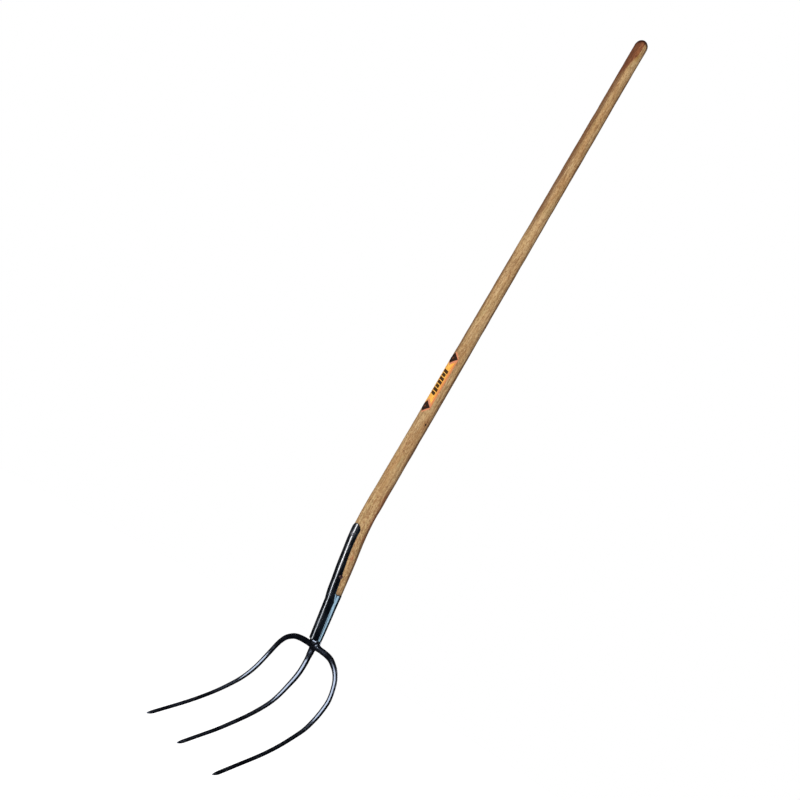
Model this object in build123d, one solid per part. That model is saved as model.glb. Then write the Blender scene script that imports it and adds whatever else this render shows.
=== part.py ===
from build123d import *
import os
from math import asin, sin, cos, tan, radians

# Three-tine hay fork with a long steam-bent ash handle and a strap ferrule.
# Millimetres. +Z runs up the straight part of the handle, -Y is the front
# (the tine points, the strap and the label face it), +X is the right-hand tine.
# The origin is on the handle's axis, in the middle of its straight grip.

# ---- handle -----------------------------------------------------------------
GRIP_R = 14.1            # cylindrical grip stretch
GRIP_HALF = 200.0        # it runs this far each side of the origin
DOME_Z = 210.6           # where the rounded top end starts
TOP_Z = 226.6            # the top of the handle
BEND_START_Z = -905.8    # the straight part ends here
BEND_R = 360.0           # radius of the steam bend
BEND_DEG = 12.0          # the lower end leans back by this
BEND_SECTION_R = 15.65
LOWER_PROFILE = (15.45, -786.0)
LABEL_CONE = ((15.22, -700.0), (14.88, -556.0))   # a plain taper under the label
UPPER_PROFILE = (14.5, -387.0)
# radius against distance below the bend's corner point, down to the ferrule rim
NOSE_PROFILE = [(15.55, 75.0), (15.1, 94.0), (14.5, 111.0)]
RIM_T = 131.5            # ferrule rim, measured from the bend's corner point
RIM_WOOD_R = 13.9
NOSE_END_T = 209.5       # end of the turned nose inside the ferrule

# ---- strap ferrule ------------------------------------------------------------
FERRULE_T = [(14.45, 131.5), (13.45, 155.0), (12.55, 188.0), (11.85, 206.0), (11.0, 224.0)]
SHEET = 1.6              # sheet steel thickness
FERRULE_END_T = 224.0
BLEND_T = 146.0          # the strap's swelling dies out on the cone here
STRAP_TOP_T = -5.5       # rounded end of the strap
STRAP_HALF_WIDTH = [(11.8, 11.0), (11.4, 34.0), (11.2, 57.0), (12.0, 80.0), (12.5, 103.0), (12.8, 127.0), (13.0, 146.0)]

# ---- forged boss and tang -------------------------------------------------------
BOSS_PROFILE = [(10.2, 224.0), (10.9, 228.5), (10.6, 234.0), (8.6, 238.6), (6.6, 241.0)]
BOSS_END_T = 241.0
WELD_R = (6.6, 6.0)
PLUG_TOP_T = 211.0
TANG_R = (5.0, 2.2)
TANG_TOP_T = 96.0

# ---- tines ----------------------------------------------------------------------
# centre tine: (y, z, radius) down the mid-plane
CENTRE_TINE = [
    (51.4, -1192.7, 5.2), (52.4, -1201.2, 5.25), (52.9, -1212.2, 5.25), (52.3, -1225.5, 5.2), (49.4, -1241.3, 5.15),
    (43.4, -1259.3, 4.8), (35.9, -1279.3, 4.45), (25.5, -1298.3, 4.05), (11.1, -1315.9, 3.85), (-5.0, -1332.4, 3.75),
    (-22.9, -1348.2, 3.65), (-41.3, -1363.7, 3.6), (-60.9, -1379.0, 3.5), (-82.5, -1394.2, 3.4), (-110.5, -1413.9, 3.3),
]
# outer tines: (x, y, z, radius) from the middle of the bow to the right-hand point
BOW_HALF = [
    (0.0, 48.7, -1172.7, 5.95), (6.6, 49.1, -1173.6, 5.9), (21.6, 50.1, -1174.9, 5.8), (36.7, 51.0, -1175.7, 5.8),
    (46.8, 50.8, -1177.0, 5.75), (56.9, 49.9, -1179.5, 5.65), (65.4, 49.8, -1183.7, 5.4), (74.7, 50.3, -1189.8, 5.1),
    (81.9, 51.2, -1197.6, 4.8), (87.7, 52.1, -1207.0, 4.65), (91.9, 52.5, -1217.6, 4.5), (95.4, 52.4, -1229.4, 4.5),
    (98.2, 51.1, -1242.2, 4.5), (99.6, 47.9, -1255.9, 4.5), (100.8, 43.1, -1270.3, 4.4), (102.1, 36.0, -1285.3, 4.2),
    (103.6, 26.5, -1300.4, 3.95), (104.5, 13.4, -1315.6, 3.75), (105.6, -2.4, -1331.9, 3.6), (106.8, -21.3, -1349.0, 3.5),
    (107.7, -43.9, -1367.0, 3.45), (108.4, -70.2, -1385.9, 3.4), (110.1, -108.9, -1412.6, 3.3),
]
POINT_LENGTH = 14.0      # the ground point beyond each bar's end

# ---- fasteners and label ----------------------------------------------------------
NAIL_T, NAIL_DEG = 97.5, -46.0      # nail beside the strap's right edge; -90 is the front
NAIL_HEAD_R, NAIL_SHANK_R, NAIL_DEPTH = 3.3, 1.4, 12.4
RIVET_T = 17.0                      # flush rivet near the strap's rounded end
RIVET_R, RIVET_HEAD_R = 2.2, 4.2
BURR_R, BURR_THICK, BURR_SEAT = 6.0, 1.6, 14.3
PIN_T, PIN_R = 152.0, 1.6           # cross pin through ferrule, wood and tang
LABEL_Z = (-698.0, -560.0)
LABEL_HALF_DEG = 44.0
LABEL_THICK = 0.25

# ---- frames ---------------------------------------------------------------------
ang = radians(BEND_DEG)
KNEE_Z = BEND_START_Z - BEND_R * tan(ang / 2)     # corner point of the bend
BEND_T = BEND_R * tan(ang / 2)                    # tangent length
lower = Plane(origin=(0, 0, KNEE_Z), x_dir=(1, 0, 0), z_dir=(0, -sin(ang), cos(ang)))


def p(r, h):
    return Vector(r, 0, h)


def turn(edges):
    """A solid of revolution about Z from an outline in the XZ plane."""
    return revolve(make_face(edges), Axis.Z, 360)


def low(shape):
    """Moves a shape made about Z onto the leaning axis; z is minus the distance t."""
    return lower.location * shape


def one(shape):
    """The single solid that a shape holds."""
    parts = shape.solids()
    if len(parts) != 1:
        raise ValueError(f"expected one solid, found {len(parts)}")
    return parts[0]


def both(a, b):
    """The common volume of two solids."""
    return one(a & b)


def cut(shape, *tools):
    """The solid with each tool taken out of it."""
    shape = one(shape)
    for tool in tools:
        shape = one(shape - one(tool))
    return shape


def cap(a, h, z, up=1):
    """Arc of a low dome centred on the axis, from its rim at radius a to its pole, h high."""
    big = (a * a + h * h) / (2 * h)
    half = asin(a / big) / 2
    return ThreePointArc(p(a, z), p(big * sin(half), z + up * (h - big + big * cos(half))), p(0, z + up * h))


def band(profile, t0, t1):
    """Solid of revolution, on the leaning axis, through a list of (radius, t)."""
    pts = [p(r, -t) for r, t in profile]
    return turn([Line(p(0, -t0), pts[0]), Spline(*pts), Line(pts[-1], p(0, -t1)), Line(p(0, -t1), p(0, -t0))])


# ---- handle -----------------------------------------------------------------------
a0 = p(BEND_SECTION_R, BEND_START_Z)
c0, c1 = p(*LABEL_CONE[0]), p(*LABEL_CONE[1])
g0 = p(GRIP_R, -GRIP_HALF)
taper = tuple(c1 - c0)
side = [
    Spline(a0, p(*LOWER_PROFILE), c0, tangents=[(0, 0, 1), taper]),
    Line(c0, c1),
    Spline(c1, p(*UPPER_PROFILE), g0, tangents=[taper, (0, 0, 1)]),
]
g1, top = p(GRIP_R, DOME_Z), p(0, TOP_Z)
dome_h = TOP_Z - DOME_Z
dome = Spline(g1, p(GRIP_R * cos(radians(45)), DOME_Z + dome_h * sin(radians(45))), top,
              tangents=[(0, 0, 1), (-1, 0, 0)])
straight = turn([Line(p(0, BEND_START_Z), a0), *side, Line(g0, g1), dome, Line(top, p(0, BEND_START_Z))])

bend_axis = Axis((0, BEND_R, BEND_START_Z), (1, 0, 0))
section = Plane(origin=(0, 0, BEND_START_Z), x_dir=(1, 0, 0), z_dir=(0, 0, 1))


def bend(r):
    return revolve(section * Circle(r), bend_axis, BEND_DEG)


nose_pts = [p(BEND_SECTION_R, -BEND_T)] + [p(r, -t) for r, t in NOSE_PROFILE] + [p(RIM_WOOD_R, -RIM_T)]
nose_upper = turn([
    Line(p(0, -BEND_T), nose_pts[0]), Spline(*nose_pts, tangents=[(0, 0, -1), (-0.03, 0, -1)]),
    Line(nose_pts[-1], p(0, -RIM_T)), Line(p(0, -RIM_T), p(0, -BEND_T)),
])
cone_outer = band(FERRULE_T, RIM_T, FERRULE_END_T)
cone_inner = band([(r - SHEET, t) for r, t in FERRULE_T], RIM_T, FERRULE_END_T)


def slab(t0, t1, r=40.0):
    return Pos(0, 0, -(t0 + t1) / 2) * Cylinder(r, t1 - t0)


nose_lower = both(cone_inner, slab(RIM_T, NOSE_END_T))
wood = straight + bend(BEND_SECTION_R) + low(nose_upper) + low(nose_lower)

# ---- strap ferrule -------------------------------------------------------------------
skin_pts = [Vector(q.X + SHEET, 0, q.Z) for q in nose_pts]
skin_low = turn([
    Line(p(0, -BEND_T), skin_pts[0]),
    Spline(*skin_pts, p(14.75, -139.0), p(13.83, -BLEND_T), tangents=[(0, 0, -1), (-0.04, 0, -1)]),
    Line(p(13.83, -BLEND_T), p(0, -BLEND_T)), Line(p(0, -BLEND_T), p(0, -BEND_T)),
])
skin = bend(BEND_SECTION_R + SHEET) + low(skin_low)
side_pts = [(w, -t) for w, t in STRAP_HALF_WIDTH]
rad = STRAP_HALF_WIDTH[0][0]
top_y = -STRAP_TOP_T
tongue_edges = [
    Spline(*[(w, h) for w, h in side_pts[::-1]], tangents=[(0, 1), (0, 1)]),
    ThreePointArc((rad, side_pts[0][1]), (0, top_y), (-rad, side_pts[0][1])),
    Spline(*[(-w, h) for w, h in side_pts], tangents=[(0, -1), (0, -1)]),
    Line((-side_pts[-1][0], side_pts[-1][1]), (side_pts[-1][0], side_pts[-1][1])),
]
front = Plane(origin=(0, 0, 0), x_dir=(1, 0, 0), z_dir=(0, -1, 0))
tongue_prism = low(extrude(front * make_face(tongue_edges), 30.0))
blend_core = low(band([(r - 0.8, t) for r, t in FERRULE_T], RIM_T, FERRULE_END_T))
tongue = cut(both(skin, tongue_prism), wood, blend_core)
ferrule = low(cut(cone_outer, cone_inner))
strap_ferrule = cut(ferrule + tongue, wood)

# ---- boss, plug and tang ------------------------------------------------------------
boss = band(BOSS_PROFILE, 224.0, BOSS_END_T)
plug = both(cone_inner, slab(PLUG_TOP_T, FERRULE_END_T))
tang = turn([
    Line(p(0, -TANG_TOP_T), p(TANG_R[1], -TANG_TOP_T)), Line(p(TANG_R[1], -TANG_TOP_T), p(TANG_R[0], -PLUG_TOP_T)),
    Line(p(TANG_R[0], -PLUG_TOP_T), p(0, -PLUG_TOP_T)), Line(p(0, -PLUG_TOP_T), p(0, -TANG_TOP_T)),
])
tang_boss = low(boss + plug + tang)


# ---- tines ------------------------------------------------------------------------------
def cumulative(pts):
    out = [0.0]
    for a, b in zip(pts, pts[1:]):
        out.append(out[-1] + (b - a).length)
    return out


def lerp(x, xs, ys):
    for (xa, ya), (xb, yb) in zip(zip(xs, ys), zip(xs[1:], ys[1:])):
        if x <= xb:
            return ya + (yb - ya) * (x - xa) / (xb - xa)
    return ys[-1]


def round_bar(points, radii, spacing, tangent_ends=()):
    """A tapered round bar along a smooth curve, through evenly spaced circles."""
    path = Spline(*points, tangents=tangent_ends) if tangent_ends else Spline(*points)
    total = path.length
    along = cumulative(points)
    count = round(total / spacing)
    x = None
    faces = []
    for i in range(count + 1):
        s = total * i / count
        q = path.position_at(s, position_mode=PositionMode.LENGTH)
        d = path.tangent_at(s, position_mode=PositionMode.LENGTH)
        if x is None:
            x = Vector(1, 0, 0) if abs(d.X) < 0.7 else Vector(0, 0, 1)
        x = (x - d * x.dot(d)).normalized()
        r = lerp(s * along[-1] / total, along, radii)
        faces.append(Plane(origin=q, x_dir=x, z_dir=d) * Circle(r))
    return loft(faces)


def point(base, tip, r):
    """The forged point: a shaped cone that starts 1.5 mm inside the bar's end, a little slimmer than it."""
    d = (tip - base).normalized()
    base = base - d * 1.5
    x = (Vector(1, 0, 0) - d * d.X).normalized()
    length = (tip - base).length
    sections = [Plane(origin=base + d * (length * f), x_dir=x, z_dir=d) * Circle(r * k)
                for f, k in ((0.0, 0.95), (0.35, 0.89), (0.7, 0.64), (1.0, 0.24))]
    return loft(sections, ruled=True)


def on_axis(t, r=0.0):
    return lower.from_local_coords(Vector(r, 0, -t))


down = Vector(0, sin(ang), -cos(ang))
centre_pts = [on_axis(BOSS_END_T)] + [Vector(0, y, z) for y, z, r in CENTRE_TINE]
centre_radii = [5.2] + [r for y, z, r in CENTRE_TINE]
centre_end = (centre_pts[-1] - centre_pts[-2]).normalized()
centre_tip = centre_pts[-1] + centre_end * POINT_LENGTH
centre_tine = one(round_bar(centre_pts, centre_radii, 20.0, (tuple(down), tuple(centre_end)))
                  + point(centre_pts[-1], centre_tip, centre_radii[-1]))

right = [Vector(x, y, z) for x, y, z, r in BOW_HALF]
left = [Vector(-x, y, z) for x, y, z, r in BOW_HALF[:0:-1]]
radii = [r for *_, r in BOW_HALF]
end_dir = (right[-1] - right[-2]).normalized()
start_dir = Vector(end_dir.X, -end_dir.Y, -end_dir.Z)
bow = round_bar(left + right, radii[:0:-1] + radii, 15.0, (tuple(start_dir), tuple(end_dir)))
right_tip = right[-1] + end_dir * POINT_LENGTH
left_tip = Vector(-right_tip.X, right_tip.Y, right_tip.Z)
outer_tine_bow = one(bow + point(right[-1], right_tip, radii[-1]) + point(left[0], left_tip, radii[-1]))
tang_boss = cut(tang_boss, outer_tine_bow)

# weld ring between the boss and the centre tine
weld = cut(low(turn([
    Line(p(0, -BOSS_END_T), p(WELD_R[0], -BOSS_END_T)),
    ThreePointArc(p(WELD_R[0], -BOSS_END_T), p(WELD_R[0] + 0.1, -BOSS_END_T - 1.9), p(WELD_R[1], -BOSS_END_T - 3.6)),
    Line(p(WELD_R[1], -BOSS_END_T - 3.6), p(0, -BOSS_END_T - 3.6)),
    Line(p(0, -BOSS_END_T - 3.6), p(0, -BOSS_END_T)),
])), centre_tine)

# ---- fasteners ------------------------------------------------------------------------
na = radians(NAIL_DEG)
nail_dir = Vector(cos(na), sin(na), 0)
nail_local = Plane(origin=(0, 0, -NAIL_T), x_dir=(0, 0, 1), z_dir=nail_dir)
R_OUT = 16.6
nail = turn([
    Line(p(0, R_OUT - NAIL_DEPTH), p(NAIL_SHANK_R, R_OUT - NAIL_DEPTH + 3)),
    Line(p(NAIL_SHANK_R, R_OUT - NAIL_DEPTH + 3), p(NAIL_SHANK_R, R_OUT - 1.2)),
    Line(p(NAIL_SHANK_R, R_OUT - 1.2), p(NAIL_HEAD_R, R_OUT - 1.2)),
    Line(p(NAIL_HEAD_R, R_OUT - 1.2), p(NAIL_HEAD_R, R_OUT + 0.2)),
    cap(NAIL_HEAD_R, 1.05, R_OUT + 0.2),
    Line(p(0, R_OUT + 1.25), p(0, R_OUT - NAIL_DEPTH)),
])
strap_nail = low(nail_local.location * nail)

fwd = Plane(origin=(0, 0, -RIVET_T), x_dir=(1, 0, 0), z_dir=(0, -1, 0))
back_face = BURR_SEAT + BURR_THICK
rivet_raw = turn([
    Line(p(0, -back_face - 1.5), p(0, 22.0)), Line(p(0, 22.0), p(RIVET_HEAD_R, 22.0)),
    Line(p(RIVET_HEAD_R, 22.0), p(RIVET_HEAD_R, 17.0)), Line(p(RIVET_HEAD_R, 17.0), p(RIVET_R, 15.0)),
    Line(p(RIVET_R, 15.0), p(RIVET_R, -back_face)), Line(p(RIVET_R, -back_face), p(3.6, -back_face)),
    cap(3.6, 1.5, -back_face, -1),
])
rivet_placed = low(fwd.location * rivet_raw)
keep = skin + low(Pos(0, 30, -20) * Box(40, 60, 80))
strap_rivet = both(rivet_placed, keep)
burr = low(fwd.location * (Pos(0, 0, -(BURR_SEAT + BURR_THICK / 2)) * Cylinder(BURR_R, BURR_THICK)))
rivet_burr = cut(burr, strap_rivet)
seat = low(fwd.location * (Pos(0, 0, -(BURR_SEAT + 4.0)) * Cylinder(BURR_R, 8.0)))

pin_raw = low(Pos(0, 0, -PIN_T) * (Rot(0, 90, 0) * Cylinder(PIN_R, 40.0)))
ferrule_pin = both(pin_raw, low(cone_outer))

handle = cut(wood, low(tang), strap_nail, seat, rivet_placed, pin_raw)
tang_boss = cut(tang_boss, pin_raw)
strap_ferrule = cut(strap_ferrule, strap_nail, rivet_placed, pin_raw)

# ---- label -------------------------------------------------------------------------------
def cone_point(z, extra=0.0):
    (ra, za), (rb, zb) = LABEL_CONE
    return p(ra + (rb - ra) * (z - za) / (zb - za) + extra, z)


l0, l1 = cone_point(LABEL_Z[0]), cone_point(LABEL_Z[1])
m0, m1 = cone_point(LABEL_Z[0], LABEL_THICK), cone_point(LABEL_Z[1], LABEL_THICK)
strip = make_face([Line(l0, m0), Line(m0, m1), Line(m1, l1), Line(l1, l0)])
handle_label = Rot(0, 0, -90 - LABEL_HALF_DEG) * revolve(strip, Axis.Z, 2 * LABEL_HALF_DEG)

# ---- write ----------------------------------------------------------------------------------
nodes = {
    "handle": handle,
    "strap_ferrule": strap_ferrule,
    "tang_boss": tang_boss,
    "centre_tine": centre_tine,
    "outer_tine_bow": outer_tine_bow,
    "centre_tine_weld": weld,
    "strap_nail": strap_nail,
    "strap_rivet": strap_rivet,
    "rivet_burr": rivet_burr,
    "ferrule_pin": ferrule_pin,
    "handle_label": handle_label,
}
os.makedirs("parts", exist_ok=True)
for name, shape in nodes.items():
    solid = one(shape)
    print(name, round(solid.volume), solid.is_valid)
    export_step(solid, f"parts/{name}.step")
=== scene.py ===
import math
import bmesh
import bpy
import numpy as np
from mathutils import Matrix, Vector


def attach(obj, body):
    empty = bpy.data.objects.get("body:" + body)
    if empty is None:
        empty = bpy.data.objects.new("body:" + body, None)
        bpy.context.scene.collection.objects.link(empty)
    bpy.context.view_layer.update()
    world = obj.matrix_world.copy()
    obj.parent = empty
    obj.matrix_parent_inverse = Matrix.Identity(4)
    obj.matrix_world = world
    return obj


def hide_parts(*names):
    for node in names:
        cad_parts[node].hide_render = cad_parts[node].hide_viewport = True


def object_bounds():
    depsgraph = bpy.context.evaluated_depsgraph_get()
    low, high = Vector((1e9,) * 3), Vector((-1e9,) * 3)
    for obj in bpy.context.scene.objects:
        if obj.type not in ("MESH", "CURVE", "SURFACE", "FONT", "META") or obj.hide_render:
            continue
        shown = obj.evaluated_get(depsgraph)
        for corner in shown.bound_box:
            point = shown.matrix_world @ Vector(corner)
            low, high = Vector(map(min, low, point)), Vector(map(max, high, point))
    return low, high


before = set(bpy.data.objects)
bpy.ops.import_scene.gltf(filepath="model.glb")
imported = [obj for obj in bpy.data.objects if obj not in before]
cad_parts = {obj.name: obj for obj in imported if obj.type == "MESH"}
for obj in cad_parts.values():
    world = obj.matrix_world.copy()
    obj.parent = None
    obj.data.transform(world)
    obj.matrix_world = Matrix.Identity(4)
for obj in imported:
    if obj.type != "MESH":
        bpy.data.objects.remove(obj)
cad_box = [list(v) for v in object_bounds()]

# Three-tine hay fork. Lengths below are millimetres and become metres in make().
# +Z runs up the handle, -Y is the front, azimuth -90 degrees is the front.

# ============================================================== camera
cam_data = bpy.data.cameras.new("camera")
cam = bpy.data.objects.new("camera", cam_data)
bpy.context.scene.collection.objects.link(cam)
cam_data.sensor_width = 36.0
cam_data.lens = 45.0
cam_data.clip_start, cam_data.clip_end = 0.05, 60.0
right = Vector((0.66142301, 0.55958887, 0.49937951))
up = Vector((-0.22854845, -0.48378141, 0.84482019))
back = Vector((0.7143425, -0.67291593, -0.19209098))
cam.matrix_world = Matrix((
    (right.x, up.x, back.x, 1.33024),
    (right.y, up.y, back.y, -1.33345),
    (right.z, up.z, back.z, -1.06563),
    (0, 0, 0, 1)))
bpy.context.scene.camera = cam
bpy.context.scene.view_settings.view_transform = "Standard"

# ============================================================== numbers of the fork
GRIP_R, DOME_Z, TOP_Z = 14.1, 210.6, 226.6
STRAP_TOP, STRAP_ROUND = -5.5, 11.0
BEND_START_Z, BEND_R, BEND = -905.8, 360.0, math.radians(12.0)
SECTION_R, SHEET = 15.65, 1.6
RIM_T, BLEND_T, END_T = 131.5, 146.0, 224.0
BEND_LEN = BEND_R * BEND
BEND_T = BEND_R * math.tan(BEND / 2)
KNEE = np.array([0.0, 0.0, BEND_START_Z - BEND_T])
X1 = np.array([1.0, 0.0, 0.0])
DOWN = np.array([0.0, math.sin(BEND), -math.cos(BEND)])
REAR = np.array([0.0, math.cos(BEND), math.sin(BEND)])
FERRULE = [(14.45, 131.5), (13.45, 155.0), (12.55, 188.0), (11.85, 206.0), (11.0, 224.0)]
STRAP_W = [(11.8, 11.0), (11.4, 34.0), (11.2, 57.0), (12.0, 80.0), (12.5, 103.0), (12.8, 127.0), (13.0, 146.0)]
CENTRE_TINE = [
    (51.4, -1192.7, 5.2), (52.4, -1201.2, 5.25), (52.9, -1212.2, 5.25), (52.3, -1225.5, 5.2), (49.4, -1241.3, 5.15),
    (43.4, -1259.3, 4.8), (35.9, -1279.3, 4.45), (25.5, -1298.3, 4.05), (11.1, -1315.9, 3.85), (-5.0, -1332.4, 3.75),
    (-22.9, -1348.2, 3.65), (-41.3, -1363.7, 3.6), (-60.9, -1379.0, 3.5), (-82.5, -1394.2, 3.4), (-110.5, -1413.9, 3.3),
]
BOW_HALF = [
    (0.0, 48.7, -1172.7, 5.95), (6.6, 49.1, -1173.6, 5.9), (21.6, 50.1, -1174.9, 5.8), (36.7, 51.0, -1175.7, 5.8),
    (46.8, 50.8, -1177.0, 5.75), (56.9, 49.9, -1179.5, 5.65), (65.4, 49.8, -1183.7, 5.4), (74.7, 50.3, -1189.8, 5.1),
    (81.9, 51.2, -1197.6, 4.8), (87.7, 52.1, -1207.0, 4.65), (91.9, 52.5, -1217.6, 4.5), (95.4, 52.4, -1229.4, 4.5),
    (98.2, 51.1, -1242.2, 4.5), (99.6, 47.9, -1255.9, 4.5), (100.8, 43.1, -1270.3, 4.4), (102.1, 36.0, -1285.3, 4.2),
    (103.6, 26.5, -1300.4, 3.95), (104.5, 13.4, -1315.6, 3.75), (105.6, -2.4, -1331.9, 3.6), (106.8, -21.3, -1349.0, 3.5),
    (107.7, -43.9, -1367.0, 3.45), (108.4, -70.2, -1385.9, 3.4), (110.1, -108.9, -1412.6, 3.3),
]
POINT_LENGTH = 14.0
NAIL_T, NAIL_DEG = 97.5, -46.0
RIVET_T, PIN_T = 17.0, 152.0
LABEL_Z = (-698.0, -560.0)


# ============================================================== curves and meshes
def spline(x, y, q, d0=None, d1=None):
    """C2 cubic spline through (x, y) at q; an end is clamped where its slope is given, else natural."""
    x, y, q = np.asarray(x, float), np.asarray(y, float), np.asarray(q, float)
    flat = y.ndim == 1
    if flat:
        y = y[:, None]
    n, h = len(x), np.diff(x)
    s = np.diff(y, axis=0) / h[:, None]
    a, b = np.zeros((n, n)), np.zeros((n, y.shape[1]))
    a[0, 0] = a[-1, -1] = 1.0
    if d0 is not None:
        a[0, 0], a[0, 1], b[0] = 2 * h[0], h[0], 6 * (s[0] - d0)
    if d1 is not None:
        a[-1, -1], a[-1, -2], b[-1] = 2 * h[-1], h[-1], 6 * (np.asarray(d1, float) - s[-1])
    for i in range(1, n - 1):
        a[i, i - 1], a[i, i], a[i, i + 1] = h[i - 1], 2 * (h[i - 1] + h[i]), h[i]
        b[i] = 6 * (s[i] - s[i - 1])
    m = np.linalg.solve(a, b)
    k = np.clip(np.searchsorted(x, q) - 1, 0, n - 2)
    t, hk = (q - x[k])[:, None], h[k][:, None]
    out = y[k] + t * (s[k] - hk * (2 * m[k] + m[k + 1]) / 6 + t * (m[k] / 2 + t * (m[k + 1] - m[k]) / (6 * hk)))
    return out[:, 0] if flat else out


def waves(seed, *coords, scale=1.0, count=7):
    """A smooth, fixed wobble between about -1 and 1 from a few sines of the given coordinates."""
    rng = np.random.RandomState(seed)
    total = 0.0
    for i in range(count):
        phase = rng.uniform(0, 2 * math.pi)
        total = total + np.sin(sum(c * f for c, f in zip(coords, rng.normal(0, 1, len(coords)) * scale)) + phase)
    return total / math.sqrt(count) * 0.75


def make(name, verts, faces, replaces=(), attributes=None, weld=0.0, fix_normals=True):
    """A piece from millimetre vertices, riding on the root body."""
    mesh = bpy.data.meshes.new(name)
    mesh.from_pydata((np.asarray(verts, float) * 0.001).tolist(), [], [tuple(int(i) for i in f) for f in faces])
    for key, values in (attributes or {}).items():
        values = np.asarray(values, np.float32)
        kind = "FLOAT_VECTOR" if values.ndim == 2 else "FLOAT"
        layer = mesh.attributes.new(key, kind, "POINT")
        layer.data.foreach_set("vector" if values.ndim == 2 else "value", values.ravel())
    if weld or fix_normals:
        bm = bmesh.new()
        bm.from_mesh(mesh)
        if weld:
            bmesh.ops.remove_doubles(bm, verts=bm.verts, dist=weld * 0.001)
            bmesh.ops.dissolve_degenerate(bm, dist=1e-7, edges=bm.edges)
        bmesh.ops.recalc_face_normals(bm, faces=bm.faces)
        bm.to_mesh(mesh)
        bm.free()
    mesh.shade_smooth()
    piece = bpy.data.objects.new(name, mesh)
    bpy.context.scene.collection.objects.link(piece)
    dress(piece, replaces)
    return piece


def dress(piece, replaces=()):
    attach(piece, "root")
    if replaces:
        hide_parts(*replaces)


def skin(rings, start=True, end=True):
    """Closed surface over rings of shape (n, m, 3), with a centre vertex on each closed end."""
    rings = np.asarray(rings, float)
    n, m = rings.shape[:2]
    verts = rings.reshape(-1, 3)
    i, j = np.meshgrid(np.arange(n - 1), np.arange(m), indexing="ij")
    k = (j + 1) % m
    faces = np.stack([i * m + j, i * m + k, (i + 1) * m + k, (i + 1) * m + j], -1).reshape(-1, 4).tolist()
    if start:
        verts = np.vstack([verts, rings[0].mean(0)])
        c = len(verts) - 1
        faces += [(c, (j + 1) % m, j) for j in range(m)]
    if end:
        verts = np.vstack([verts, rings[-1].mean(0)])
        c = len(verts) - 1
        o = (n - 1) * m
        faces += [(c, o + j, o + (j + 1) % m) for j in range(m)]
    return verts, faces


def axis_frame(s):
    """Axis point and rearward direction at s, the distance below the start of the bend."""
    s = np.asarray(s, float)
    th = np.clip(s / BEND_R, 0, BEND)
    c = np.stack([0 * s, BEND_R * (1 - np.cos(th)), BEND_START_Z - BEND_R * np.sin(th)], -1)
    c[..., 2] += np.where(s < 0, -s, 0)
    past = np.clip(s - BEND_LEN, 0, None)[..., None]
    c = c + past * DOWN
    b = np.stack([0 * s, np.cos(th), np.sin(th)], -1)
    return c, b


def around(s, phi, r):
    """Points at axis distance s, azimuth phi (radians) and radius r."""
    c, b = axis_frame(s)
    return c + r[..., None] * (np.cos(phi)[..., None] * X1 + np.sin(phi)[..., None] * b)


def s_of_t(t):
    return t - BEND_T + BEND_LEN


def t_of_s(s):
    return s - BEND_LEN + BEND_T


def low_point(t, phi=0.0, r=0.0):
    """A point in the leaning lower frame: t down the axis, azimuth phi, radius r."""
    return KNEE + t * DOWN + r * (math.cos(phi) * X1 + math.sin(phi) * REAR)


TAPER = (14.88 - 15.22) / 144.0


def wood_radius(s):
    """Handle radius at s, from its top rim of the dome down to the ferrule rim."""
    s = np.asarray(s, float)
    z = BEND_START_Z - s
    t = t_of_s(s)
    r = np.full(s.shape, SECTION_R)
    m = (z > BEND_START_Z) & (z <= -700)
    r[m] = spline([-905.8, -786.0, -700.0], [15.65, 15.45, 15.22], z[m], 0.0, TAPER)
    m = (z > -700) & (z <= -556)
    r[m] = 15.22 + TAPER * (z[m] + 700)
    m = (z > -556) & (z <= -200)
    r[m] = spline([-556.0, -387.0, -200.0], [14.88, 14.5, 14.1], z[m], TAPER, 0.0)
    r[z > -200] = GRIP_R
    m = z > DOME_Z
    r[m] = GRIP_R * np.sqrt(np.clip(1 - ((z[m] - DOME_Z) / (TOP_Z - DOME_Z)) ** 2, 0, 1))
    m = s > BEND_LEN
    r[m] = spline([BEND_T, 75.0, 94.0, 111.0, RIM_T], [15.65, 15.55, 15.1, 14.5, 13.9],
                  np.minimum(t[m], RIM_T), 0.0, -0.03)
    return r


def cone_radius(t):
    return spline([t for _, t in FERRULE], [r for r, _ in FERRULE], t)


def bar(points, radii, step, start_dir, end_dir, sides=36):
    """Stations of a smooth tapered bar: centres, unit tangents, radii and distances, step apart."""
    points = np.asarray(points, float)
    u = np.r_[0, np.cumsum(np.linalg.norm(np.diff(points, axis=0), axis=1))]
    fine = np.linspace(0, u[-1], 4000)
    curve = spline(u, points, fine, start_dir, end_dir)
    length = np.r_[0, np.cumsum(np.linalg.norm(np.diff(curve, axis=0), axis=1))]
    count = int(round(length[-1] / step))
    s = np.linspace(0, length[-1], count + 1)
    q = np.interp(s, length, fine)
    centre = np.stack([np.interp(q, fine, curve[:, k]) for k in range(3)], -1)
    centre = spline(u, points, q, start_dir, end_dir)
    tangent = np.gradient(centre, axis=0)
    tangent /= np.linalg.norm(tangent, axis=1)[:, None]
    return centre, tangent, np.interp(q, u, radii), s


def rings_along(centre, tangent, radius_fn, sides, guide):
    """Rings of vertices about the stations; azimuth 0 points along guide, flattened to the section."""
    a = guide - tangent * (tangent @ guide)[:, None]
    a /= np.linalg.norm(a, axis=1)[:, None]
    b = np.cross(tangent, a)
    phi = np.arange(sides) * 2 * math.pi / sides
    r = radius_fn(phi)
    return centre[:, None] + r[..., None] * (np.cos(phi)[None, :, None] * a[:, None] + np.sin(phi)[None, :, None] * b[:, None])


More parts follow.
